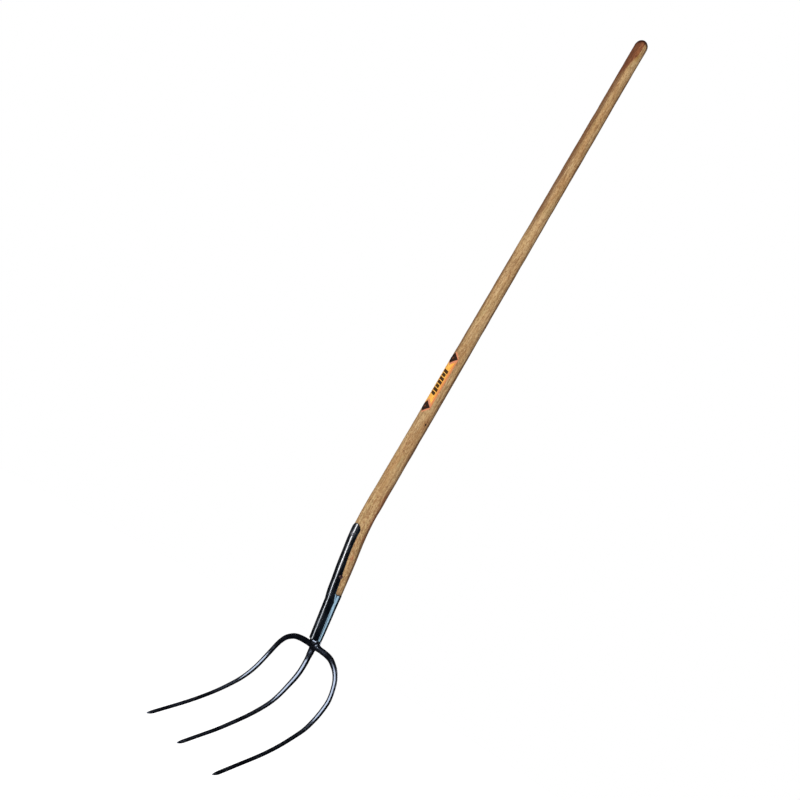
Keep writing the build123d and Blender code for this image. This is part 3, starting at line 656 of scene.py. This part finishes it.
def build_ferrule():
    fillet = 4.0
    # rows: dense at the rounded end, at the rim and its corner fillets
    beta = np.radians(np.r_[1.0, 2.5, 4.5, 7, 10, 13.5, 17.5, np.arange(22, 101, 6.0)])
    rows = np.r_[mid - cap_r * np.cos(beta)]
    rows = rows[rows < STRAP_ROUND]
    rows = np.r_[rows, np.arange(STRAP_ROUND, RIM_T - fillet, 1.25)]
    alpha = np.radians(np.linspace(0, 90, 13))
    flare_rows = RIM_T - fillet + fillet * np.sin(alpha)
    rows = np.unique(np.r_[rows[rows < RIM_T - fillet - 0.2], flare_rows].round(6))
    n1 = len(rows)
    tail = np.unique(np.r_[RIM_T + np.array([0.12, 0.3, 0.55, 0.85, 1.2, 1.7]), np.arange(RIM_T + 2.4, END_T - 0.3, 1.4), END_T].round(6))
    rows = np.r_[rows, tail]

    # the front face's t on the bend differs from the axis distance: find s for each row there
    th = np.linspace(0, BEND, 800)
    ro = BEND_R + SECTION_R + SHEET
    y, z = BEND_R - ro * np.cos(th), BEND_START_Z - ro * np.sin(th)
    t_front = y * DOWN[1] + (z - KNEE[2]) * DOWN[2]
    s = np.where(rows < BEND_T, np.interp(rows, t_front, th * BEND_R), s_of_t(rows))

    wood = wood_radius(np.minimum(s, s_of_t(RIM_T)))
    skin_t = [BEND_T, 75.0, 94.0, 111.0, RIM_T, 139.0, BLEND_T]
    skin_r = [SECTION_R + SHEET, 17.15, 16.7, 16.1, 15.5, 14.75, 13.83]
    top = np.where(rows < BEND_T, SECTION_R + SHEET,
                   spline(skin_t, skin_r, np.clip(rows, BEND_T, BLEND_T), 0.0, -0.13))
    cone = cone_radius(np.maximum(rows, RIM_T))
    width = strap_edge(rows)
    half = np.arcsin(np.clip(width / np.where(rows < RIM_T, top, np.maximum(top, cone)), 0, 1))
    flare = np.zeros(len(rows))
    m = (rows > RIM_T - fillet) & (rows <= RIM_T + 1e-6)
    a = np.arcsin(np.clip((rows[m] - (RIM_T - fillet)) / fillet, 0, 1))
    flare[m] = fillet * (1 - np.cos(a))
    flare[rows > RIM_T] = fillet
    edge = half + flare / 15.2
    edge[rows > RIM_T] = edge[n1 - 1]

    nc, nr = 53, 60
    c = np.sin(np.linspace(-1, 1, nc) * math.pi / 2)
    phi_strap = -math.pi / 2 + c[None, :] * edge[:, None]
    rest = np.linspace(0, 1, nr + 2)[1:-1]
    span = 2 * math.pi - 2 * edge
    phi_rest = -math.pi / 2 + edge[:, None] + rest[None, :] * span[:, None]

    # outline of the sheet in the flat: (arc length, t)
    dense = np.linspace(STRAP_TOP, RIM_T - fillet, 1200)
    dense = np.r_[mid - cap_r * np.cos(np.linspace(0, math.acos((mid - STRAP_ROUND) / cap_r), 160)), dense[dense > STRAP_ROUND]]
    arc_r = 16.2
    left_t = np.r_[dense, RIM_T - fillet + fillet * np.sin(np.linspace(0, math.pi / 2, 30))]
    hw = np.arcsin(np.clip(strap_edge(left_t) / (np.interp(left_t, rows, top)), 0, 1)) * arc_r
    hw[len(dense):] += fillet * (1 - np.cos(np.linspace(0, math.pi / 2, 30)))
    rim_a = np.linspace(hw[-1], math.pi * arc_r, 160)
    outline = np.vstack([np.c_[hw, left_t], np.c_[rim_a, np.full(160, RIM_T)]])

    def depth(arc, t):
        """Distance inside the outline, by symmetry on one side."""
        pts = np.c_[np.abs(arc).ravel(), t.ravel()]
        out = np.empty(len(pts))
        for i in range(0, len(pts), 4000):
            d = pts[i:i + 4000, None, :] - outline[None]
            out[i:i + 4000] = np.sqrt((d ** 2).sum(-1).min(1))
        return out.reshape(arc.shape)

    def edge_round(d, w):
        k = np.clip(d / w, 0, 1)
        return np.sqrt(np.clip(1 - (1 - k) ** 2, 0, 1))

    def radii(phi, t):
        """Outer and inner radius of the sheet at azimuth phi and t."""
        tt = t + 0 * phi
        arc = (np.mod(phi + math.pi / 2 + math.pi, 2 * math.pi) - math.pi) * arc_r
        d = depth(arc, tt)
        below = tt > RIM_T + 1e-6
        cone_g = cone[:, None] + 0 * phi
        top_g = top[:, None] + 0 * phi
        hw_g = half[:, None] * arc_r + 0 * phi
        inside = hw_g - np.abs(arc)
        swell = np.clip(top_g - cone_g, 0, None) * np.where(below | (tt > RIM_T - fillet - 0.01), edge_round(np.clip(inside + 0.6, 0, None), 2.6), 1.0)
        outer = np.where(tt < RIM_T - fillet, top_g, cone_g + swell)
        # in the corner fillets the sheet lies on the wood, just proud of it
        wood_g = wood[:, None] + 0 * phi
        outer = np.where((tt >= RIM_T - fillet) & ~below, np.maximum(outer, wood_g + 0.62), outer)
        inner = np.where(below, cone_g - SHEET, wood_g - 0.18)
        wave = 0.05 * waves(21, np.cos(phi) * 2.2, np.sin(phi) * 2.2, tt * 0.06) + 0.03 * waves(22, np.cos(phi) * 5, np.sin(phi) * 5, tt * 0.15)
        outer = outer + (wave - 0.03)
        # a few light hammer flats where the strap was dressed down on the wood
        outer = outer - 0.10 * np.clip(waves(23, arc * 0.12, tt * 0.075), 0, 1) * (tt < RIM_T)
        outer = inner + (outer - inner) * edge_round(d, 1.15)
        outer = np.where(d < 1e-4, inner, outer)
        return outer, inner, np.where(tt < RIM_T - 1.0, np.clip(1 - d / 1.6, 0, 1), 0.0)

    t_col = rows[:, None]
    ro_s, ri_s, lip_s = radii(phi_strap, t_col)
    ro_r, ri_r, lip_r = radii(phi_rest, t_col)
    ro_s[:n1, 0] = ri_s[:n1, 0]
    ro_s[:n1, -1] = ri_s[:n1, -1]
    ro_r[n1 - 1] = ri_r[n1 - 1]
    sg = s[:, None]
    outer_s, inner_s = around(sg + 0 * phi_strap, phi_strap, ro_s), around(sg + 0 * phi_strap, phi_strap, ri_s)
    outer_r, inner_r = around(sg + 0 * phi_rest, phi_rest, ro_r), around(sg + 0 * phi_rest, phi_rest, ri_r)

    # rows above the bend's end follow the strap's flat t, so the apex point closes the fan
    verts, faces = [], []

    def grid(a):
        base = sum(len(v) for v in verts)
        verts.append(a.reshape(-1, 3))
        return base + np.arange(a.shape[0] * a.shape[1]).reshape(a.shape[:2])

    strip_o, strip_i = grid(outer_s), grid(inner_s)
    ring_o, ring_i = grid(outer_r[n1 - 1:]), grid(inner_r[n1 - 1:])
    for g, flip in ((strip_o, False), (strip_i, True)):
        for i in range(len(rows) - 1):
            for j in range(nc - 1):
                f = (g[i, j], g[i, j + 1], g[i + 1, j + 1], g[i + 1, j])
                faces.append(f[::-1] if flip else f)
    for strip, ring, flip in ((strip_o, ring_o, False), (strip_i, ring_i, True)):
        for k in range(ring.shape[0] - 1):
            i = n1 - 1 + k
            line0 = [strip[i, -1], *ring[k], strip[i, 0]]
            line1 = [strip[i + 1, -1], *ring[k + 1], strip[i + 1, 0]]
            for j in range(len(line0) - 1):
                f = (line0[j], line0[j + 1], line1[j + 1], line1[j])
                faces.append(f[::-1] if flip else f)
    # lower end: join outer to inner all the way round
    lo = [*strip_o[-1], *ring_o[-1]]
    li = [*strip_i[-1], *ring_i[-1]]
    for j in range(len(lo)):
        k = (j + 1) % len(lo)
        faces.append((lo[j], lo[k], li[k], li[j]))
    # the apex of the rounded end
    apex_s = float(np.interp(STRAP_TOP, t_front, th * BEND_R))
    apex = around(np.array([apex_s]), np.array([-math.pi / 2]), np.array([SECTION_R - 0.18]))
    base = sum(len(v) for v in verts)
    verts.append(apex)
    for j in range(nc - 1):
        faces.append((base, strip_o[0, j + 1], strip_o[0, j]))
        faces.append((base, strip_i[0, j], strip_i[0, j + 1]))
    lip = np.concatenate([lip_s.ravel(), lip_s.ravel(), lip_r[n1 - 1:].ravel(), lip_r[n1 - 1:].ravel(), [1.0]])
    piece = make("strap_ferrule_sheet", np.vstack(verts), faces, ["strap_ferrule"], {"lip": lip}, weld=0.004)
    piece.data.materials.append(PRESSED)
    return piece


# ============================================================== tines
def tine_rings(points, radii, start_dir, end_dir, seed, two_points, step=1.2, sides=36):
    """A forged tine: smooth taper, faint hammer facets, and bevelled points."""
    centre, tangent, radius, s = bar(points, radii, step, start_dir, end_dir)
    total = s[-1]

    def tip(c, d, r):
        """Stations of the ground point beyond an end: its underside rises to the tip."""
        f = np.array([0.06, 0.14, 0.24, 0.36, 0.48, 0.6, 0.71, 0.81, 0.89, 0.95, 0.985, 1.0])
        k = np.interp(f, [0, 0.35, 0.7, 0.9, 1.0], [1.0, 0.9, 0.62, 0.4, 0.16])
        return c + d * (f * (POINT_LENGTH - 0.95))[:, None], np.repeat(d[None], len(f), 0), r * k, f

    pieces_c, pieces_d, pieces_r, pieces_s = [centre], [tangent], [radius], [s]
    shift = [np.zeros(len(s))]
    c1, d1, r1, f1 = tip(centre[-1], tangent[-1], radius[-1])
    pieces_c.append(c1); pieces_d.append(d1); pieces_r.append(r1); pieces_s.append(total + f1 * POINT_LENGTH)
    shift.append(f1)
    if two_points:
        c0, d0, r0, f0 = tip(centre[0], -tangent[0], radius[0])
        pieces_c.insert(0, c0[::-1]); pieces_d.insert(0, -d0[::-1]); pieces_r.insert(0, r0[::-1])
        pieces_s.insert(0, -f0[::-1] * POINT_LENGTH); shift.insert(0, f0[::-1])
    centre, tangent = np.vstack(pieces_c), np.vstack(pieces_d)
    radius, s, shift = np.concatenate(pieces_r), np.concatenate(pieces_s), np.concatenate(shift)
    # the bevel is ground from below: the axis drifts up by part of the lost radius
    upward = np.array([0.0, -0.57, 0.82])
    side = upward - tangent * (tangent @ upward)[:, None]
    side /= np.linalg.norm(side, axis=1)[:, None]
    full = np.where(shift > 0, np.where(np.arange(len(s)) < len(s) / 2, radii[0], radii[-1]), radius)
    centre = centre + side * ((full - radius) * 0.55 * (shift > 0))[:, None]

    def radius_fn(phi):
        p, q = np.meshgrid(phi, s)
        fade = np.clip(1.2 - shift, 0.2, 1)[:, None]
        facets = 0.022 * waves(seed, np.cos(p) * 1.6, np.sin(p) * 1.6, q * 0.055) + 0.012 * waves(seed + 1, np.cos(p) * 3, np.sin(p) * 3, q * 0.16)
        return radius[:, None] * (1 + (facets - 0.02) * fade)

    return rings_along(centre, tangent, radius_fn, sides, upward)


def build_tines():
    centre_pts = [low_point(241.0)] + [np.array([0, y, z]) for y, z, _ in CENTRE_TINE]
    centre_r = [5.2] + [r for *_, r in CENTRE_TINE]
    end = centre_pts[-1] - centre_pts[-2]
    rings = tine_rings(centre_pts, centre_r, DOWN, end / np.linalg.norm(end), 31, False)
    verts, faces = skin(rings)
    piece = make("centre_tine_forged", verts, faces, ["centre_tine"])
    piece.data.materials.append(FORGED)

    right_pts = [np.array(q[:3]) for q in BOW_HALF]
    left_pts = [p * [-1, 1, 1] for p in right_pts[:0:-1]]
    radii = [q[3] for q in BOW_HALF]
    end = right_pts[-1] - right_pts[-2]
    end /= np.linalg.norm(end)
    rings = tine_rings(left_pts + right_pts, radii[:0:-1] + radii, end * [1, -1, -1], end, 41, True)
    verts, faces = skin(rings)
    piece = make("outer_tines_bow", verts, faces, ["outer_tine_bow"])
    piece.data.materials.append(FORGED)


def build_knot():
    """The forged boss, melted into the bow and the centre tine with the fillets of a forge weld."""
    verts, faces = turned([(0, 219.0), (8.6, 219.0), (9.6, 221.0), (10.6, 223.9), (11.25, 226.4), (11.3, 229.0), (10.9, 233.6),
                           (9.3, 237.6), (7.4, 240.6), (6.3, 243.8), (5.4, 248.5), (0, 249.0)], KNEE, DOWN, X1, 64, 51, 0.012)
    parts = [(verts, faces)]
    right_pts = [np.array(q[:3]) for q in BOW_HALF[:5]]
    pts = [p * [-1, 1, 1] for p in right_pts[:0:-1]] + right_pts
    centre, tangent, _, s = bar(pts, [5.7] * len(pts), 1.0, None, None)
    keep = np.abs(centre[:, 0]) < 22.0
    centre, tangent = centre[keep], tangent[keep]
    r = np.interp(np.abs(centre[:, 0]), [0, 9, 14, 18, 22], [6.5, 6.45, 6.2, 5.5, 4.4])
    rings = rings_along(centre, tangent, lambda phi: r[:, None] * (1 + 0.02 * waves(52, np.cos(phi)[None] * 2, np.sin(phi)[None] * 2, centre[:, :1] * 0.25)), 40, np.array([0, -0.5, 0.8]))
    parts.append(skin(rings))
    t = np.linspace(238.0, 262.0, 25)
    centre = spline([238.0, 250.6, 259.1, 270.1], np.array([low_point(238.0), [0, 51.4, -1192.7], [0, 52.4, -1201.2], [0, 52.9, -1212.2]]), t)
    tangent = np.gradient(centre, axis=0)
    tangent /= np.linalg.norm(tangent, axis=1)[:, None]
    r = np.interp(t, [238, 246, 252, 257, 262], [6.6, 6.15, 5.6, 5.0, 4.2])
    rings = rings_along(centre, tangent, lambda phi: r[:, None] + 0 * phi[None], 40, X1)
    parts.append(skin(rings))
    # weld metal in the angles between the bow and the centre tine
    for sx in (-1, 1):
        for t0, x0, size in ((241.6, 6.6, 2.5), (237.0, 9.3, 2.4)):
            p, f = turned([(0, -size), (size * 0.7, -size * 0.72), (size, 0), (size * 0.7, size * 0.72), (0, size)],
                          low_point(t0) + np.array([sx * x0, 0.4, 0]), [0.3 * sx, -0.6, 0.6], X1, 20)
            parts.append((p, f))
    verts = np.vstack([p[0] for p in parts])
    faces, o = [], 0
    for p, f in parts:
        faces += [tuple(int(i) + o for i in face) for face in f]
        o += len(p)
    mesh = bpy.data.meshes.new("forged_knot")
    mesh.from_pydata((verts * 0.001).tolist(), [], faces)
    piece = bpy.data.objects.new("forged_knot", mesh)
    bpy.context.scene.collection.objects.link(piece)
    remesh = piece.modifiers.new("weld", "REMESH")
    remesh.mode, remesh.voxel_size, remesh.adaptivity = "VOXEL", 0.00045, 0.0
    smooth = piece.modifiers.new("fillet", "SMOOTH")
    smooth.factor, smooth.iterations = 0.5, 14
    done = bpy.data.meshes.new_from_object(piece.evaluated_get(bpy.context.evaluated_depsgraph_get()))
    piece.modifiers.clear()
    piece.data = done
    # slight unevenness of hammered metal
    co = np.zeros(len(done.vertices) * 3)
    done.vertices.foreach_get("co", co)
    no = np.zeros(len(done.vertices) * 3)
    done.vertices.foreach_get("normal", no)
    co, no = co.reshape(-1, 3), no.reshape(-1, 3)
    q = co * 1000.0
    bumpy = 0.16 * waves(55, q[:, 0] * 0.33, q[:, 1] * 0.33, q[:, 2] * 0.33) + 0.06 * waves(56, q[:, 0] * 0.9, q[:, 1] * 0.9, q[:, 2] * 0.9)
    co = co + no * (bumpy * 0.001)[:, None]
    done.vertices.foreach_set("co", co.ravel())
    done.update()
    done.shade_smooth()
    dress(piece, ["tang_boss", "centre_tine_weld"])
    piece.data.materials.append(FORGED)


# ============================================================== label
def build_label():
    rows, cols = 90, 41
    inset = 12.0
    v = np.r_[0.0, 0.15, 0.35, np.linspace(0.7, 137.3, rows), 137.65, 137.85, 138.0]
    z = LABEL_Z[0] + v
    half = math.radians(43.5) * np.clip(np.minimum(v, 138.0 - v) / inset, 0.004, 1.0)
    ragged = 1 + 0.004 * waves(61, v * 0.5)
    half = half * ragged
    c = np.sin(np.linspace(-1, 1, cols) * math.pi / 2)
    phi = -math.pi / 2 + c[None] * half[:, None]
    s = (BEND_START_Z - z)[:, None] + 0 * phi
    r = 15.22 + TAPER * (z + 700)
    edge = np.minimum(1 - np.abs(c)[None] + 0 * phi, 1) * (half[:, None] * 15.0)
    ends = np.minimum(v, 138.0 - v)[:, None]
    lift = np.clip(np.minimum(edge, ends) / 0.35, 0, 1)
    outer = r[:, None] + 0.03 + 0.2 * np.sqrt(np.clip(1 - (1 - lift) ** 2, 0, 1)) + 0.02 * waves(62, phi * 14, v[:, None] * 0.2 + 0 * phi) * lift
    inner = r[:, None] - 0.12 + 0 * phi
    top, low = around(s, phi, outer), around(s, phi, inner)
    n, m = phi.shape
    verts = np.vstack([top.reshape(-1, 3), low.reshape(-1, 3)])
    uv = np.stack([(phi + math.pi / 2) * 15.05, v[:, None] + 0 * phi, 0 * phi], -1).reshape(-1, 3)
    faces = []
    o = n * m
    for i in range(n - 1):
        for j in range(m - 1):
            a, b, cc, d = i * m + j, i * m + j + 1, (i + 1) * m + j + 1, (i + 1) * m + j
            faces.append((a, b, cc, d))
            faces.append((o + d, o + cc, o + b, o + a))
    for i in range(n - 1):
        faces.append((i * m, (i + 1) * m, o + (i + 1) * m, o + i * m))
        faces.append((i * m + m - 1, o + i * m + m - 1, o + (i + 1) * m + m - 1, (i + 1) * m + m - 1))
    for j in range(m - 1):
        faces.append((j, o + j, o + j + 1, j + 1))
        k = (n - 1) * m + j
        faces.append((k, k + 1, o + k + 1, o + k))
    piece = make("handle_decal", verts, faces, ["handle_label"], {"label": np.vstack([uv, uv])})
    piece.data.materials.append(LABEL)


# ============================================================== fasteners
def build_fasteners():
    a = math.radians(NAIL_DEG)
    out = math.cos(a) * X1 + math.sin(a) * REAR
    origin = low_point(NAIL_T)
    prof = [(0, 4.2), (0.5, 5.0), (1.4, 7.4), (1.4, 15.1), (2.9, 15.25), (3.25, 15.6), (3.35, 16.2), (3.3, 16.8), (3.05, 17.2),
            (2.5, 17.5), (1.7, 17.7), (0.8, 17.8), (0, 17.82)]
    verts, faces = turned(prof, origin, out, DOWN, 40, 71, 0.03)
    piece = make("strap_nail_head", verts, faces, ["strap_nail"])
    piece.data.materials.append(NAIL)

    origin = low_point(RIVET_T)
    front_dir = -REAR
    # the strap lies on the bend here, so its face is measured on the rivet's own line
    th = np.linspace(0, BEND, 2000)
    ro = BEND_R + SECTION_R + SHEET
    y, z = BEND_R - ro * np.cos(th), BEND_START_Z - ro * np.sin(th)
    t_front = y * DOWN[1] + (z - KNEE[2]) * DOWN[2]
    out_front = -(y * REAR[1] + (z - KNEE[2]) * REAR[2])
    face = float(np.interp(RIVET_T, t_front, out_front))
    # behind, the washer is drawn down until the wood takes its middle and its face stands just proud
    ro = BEND_R - SECTION_R
    y, z = BEND_R - ro * np.cos(th), BEND_START_Z - ro * np.sin(th)
    rear = float(np.interp(RIVET_T, y * DOWN[1] + (z - KNEE[2]) * DOWN[2], y * REAR[1] + (z - KNEE[2]) * REAR[2])) + 0.2
    prof = [(0, -rear - 1.25), (0.9, -rear - 1.18), (1.9, -rear - 0.95), (2.9, -rear - 0.5), (3.5, 0.02 - rear), (2.2, 0.06 - rear), (2.2, face - 2.2), (4.15, face - 0.7),
            (4.3, face - 0.2), (4.15, face + 0.02), (3.3, face + 0.16), (1.8, face + 0.26), (0, face + 0.3)]
    verts, faces = turned(prof, origin, front_dir, X1, 40, 73, 0.012)
    piece = make("strap_rivet_head", verts, faces, ["strap_rivet"])
    piece.data.materials.append(FASTENER)

    lean = float(np.interp(RIVET_T, y * DOWN[1] + (z - KNEE[2]) * DOWN[2], th))       # the washer lies on the curve of the bend
    prof = [(0, 0.0), (2.5, 0.0), (2.7, 0.02), (5.6, 0.04), (5.9, 0.2), (6.0, 0.5), (6.0, 1.3), (5.8, 1.55), (0, 1.6)]
    verts, faces = turned(prof, origin + rear * REAR, np.array([0, -math.cos(lean), -math.sin(lean)]), X1, 48, 75, 0.008)
    piece = make("rivet_washer", verts, faces, ["rivet_burr"])
    piece.data.materials.append(FASTENER)

    r = float(cone_radius(np.array([PIN_T]))[0])
    prof = [(0, -r - 0.22), (0.9, -r - 0.2), (1.45, -r - 0.05), (1.6, -r + 0.25), (1.6, 0.0), (1.6, r - 0.25), (1.45, r + 0.05), (0.9, r + 0.2), (0, r + 0.22)]
    verts, faces = turned(prof, low_point(PIN_T), X1, DOWN, 32, 77, 0.015)
    piece = make("ferrule_cross_pin", verts, faces, ["ferrule_pin"])
    piece.data.materials.append(FASTENER)


build_handle()
build_ferrule()
build_tines()
build_knot()
build_label()
build_fasteners()

# ============================================================== floor, world and lights
lo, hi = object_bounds()
size, level = 9.0, cad_box[0][2] - 0.35
floor_mesh = bpy.data.meshes.new("floor")
floor_mesh.from_pydata([(-size, -size, level), (size, -size, level), (size, size, level), (-size, size, level)], [], [(0, 1, 2, 3)])
floor = bpy.data.objects.new("floor", floor_mesh)
bpy.context.scene.collection.objects.link(floor)
fm, nt = new_material("floor_white")
surface(nt, Base_Color=(0.93, 0.93, 0.93, 1), Roughness=0.9, Specular_IOR_Level=0.0,
        Emission_Color=(1, 1, 1, 1), Emission_Strength=0.84)
floor.data.materials.append(fm)
floor.visible_glossy = False
floor.visible_shadow = False

world = bpy.data.worlds.new("world")
bpy.context.scene.world = world
world.use_nodes = True
nt = world.node_tree
nt.nodes.clear()
path = put(nt, "ShaderNodeLightPath")
glossy = put(nt, "ShaderNodeBackground", {"Color": (0.62, 0.72, 1.0, 1), "Strength": 0.02})
soft = put(nt, "ShaderNodeBackground", {"Color": (1, 1, 1, 1), "Strength": 0.18})
white = put(nt, "ShaderNodeBackground", {"Color": (1, 1, 1, 1), "Strength": 1.0})
first = put(nt, "ShaderNodeMixShader", {0: path.outputs["Is Glossy Ray"], 1: soft.outputs[0], 2: glossy.outputs[0]})
second = put(nt, "ShaderNodeMixShader", {0: path.outputs["Is Camera Ray"], 1: first.outputs[0], 2: white.outputs[0]})
put(nt, "ShaderNodeOutputWorld", {0: second.outputs[0]})


def softbox(name, azimuth, elevation, distance, target, width, height, radiance, colour=(1, 1, 1), glossy=True, diffuse=True):
    """An area light aimed at target (metres) from an azimuth and elevation in degrees."""
    az, el = math.radians(azimuth), math.radians(elevation)
    target = Vector(target)
    place = target + distance * Vector((math.cos(el) * math.cos(az), math.cos(el) * math.sin(az), math.sin(el)))
    data = bpy.data.lights.new(name, "AREA")
    data.shape, data.size, data.size_y = "RECTANGLE", width, height
    data.energy = radiance * math.pi * width * height
    data.color = colour
    lamp = bpy.data.objects.new(name, data)
    bpy.context.scene.collection.objects.link(lamp)
    lamp.matrix_world = Matrix.Translation(place) @ (place - target).to_track_quat("Z", "Y").to_matrix().to_4x4()
    lamp.visible_camera = False
    lamp.visible_glossy = glossy
    lamp.visible_diffuse = diffuse
    return lamp


def only_for(lamp, *names):
    """Keeps a strip light to the named steel pieces, so the wood and the label stay matt."""
    group = bpy.data.collections.new(lamp.name + "_lit")
    for piece in names:
        group.objects.link(bpy.data.objects[piece])
    lamp.light_linking.receiver_collection = group


SOCKET = ("strap_ferrule_sheet", "strap_nail_head", "strap_rivet_head", "rivet_washer", "ferrule_cross_pin")
TINES = ("centre_tine_forged", "outer_tines_bow", "forged_knot")
middle = (0.0, 0.0, -0.6)
softbox("key_soft", -65, 16, 2.4, middle, 1.5, 1.8, 4.9, glossy=False)
softbox("back_soft", 130, 25, 2.6, middle, 2.0, 2.0, 1.4, glossy=False)
only_for(softbox("strip_upper", -116, 0, 1.7, (0, 0, -0.90), 0.36, 1.6, 24.0, diffuse=False), *SOCKET)
only_for(softbox("strip_lower", -115, 0, 1.7, (0, 0, -2.02), 0.27, 0.64, 17.0, (0.86, 0.93, 1.0), diffuse=False), *SOCKET)
only_for(softbox("box_right", 28, 0, 1.7, (0, 0, -1.16), 1.15, 1.3, 10.0, (0.52, 0.80, 1.0), diffuse=False), *SOCKET)
only_for(softbox("tine_front", -68, 15, 1.7, (0, 0, -1.25), 2.4, 1.7, 15.0, (0.69, 0.80, 1.0), diffuse=False), *TINES)
only_for(softbox("tine_back", 90, 20, 1.8, (0, 0, -1.2), 0.5, 1.2, 5.0, (0.8, 0.86, 1.0), diffuse=False), *TINES)
